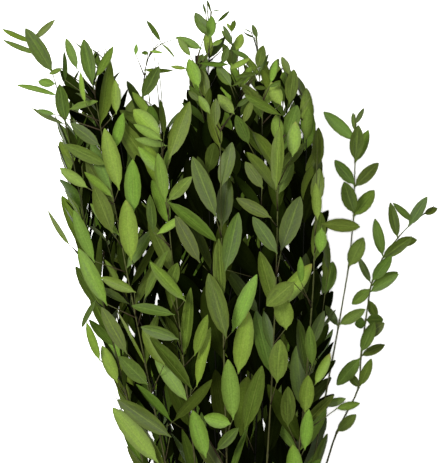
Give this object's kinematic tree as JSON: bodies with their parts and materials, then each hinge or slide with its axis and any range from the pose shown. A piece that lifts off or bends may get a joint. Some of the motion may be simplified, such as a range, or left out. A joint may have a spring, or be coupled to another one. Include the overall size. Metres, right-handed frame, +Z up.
{
  "type": "bunch of dried eucalyptus foliage",
  "caption": "Tied bunch of dried small-leaved eucalyptus: slender stems with opposite narrow leaves, lying on its side and fanning out from the tie.",
  "frame": {"origin": "on the surface that the bunch lies on, below the middle of its bounding box", "axes": "+Y from the cut ends to the leaf tips, +Z up from the surface, +X to the right of a viewer who looks down with the tips away from them"},
  "size_m": [0.3052, 0.5854, 0.1085],
  "materials": {
    "foliage": "dry satin leaf, green to grey-green",
    "tie": "plain tan elastic"
  },
  "bodies": {
    "root": {"stem_0_00": "foliage", "stem_1_00": "foliage", "stem_1_01": "foliage", "stem_1_02": "foliage", "stem_1_03": "foliage", "stem_1_04": "foliage", "stem_1_05": "foliage", "stem_2_00": "foliage", "stem_2_01": "foliage", "stem_2_02": "foliage", "stem_2_03": "foliage", "stem_2_04": "foliage", "stem_2_05": "foliage", "stem_2_06": "foliage", "stem_2_07": "foliage", "stem_2_08": "foliage", "stem_2_09": "foliage", "stem_3_00": "foliage", "stem_3_01": "foliage", "stem_3_02": "foliage", "stem_3_03": "foliage", "stem_3_04": "foliage", "stem_3_05": "foliage", "stem_3_06": "foliage", "stem_3_07": "foliage", "stem_3_08": "foliage", "stem_3_09": "foliage", "stem_3_10": "foliage", "stem_3_11": "foliage", "stem_3_12": "foliage", "stem_3_13": "foliage", "tie": "tie"}
  },
  "joints": []
}
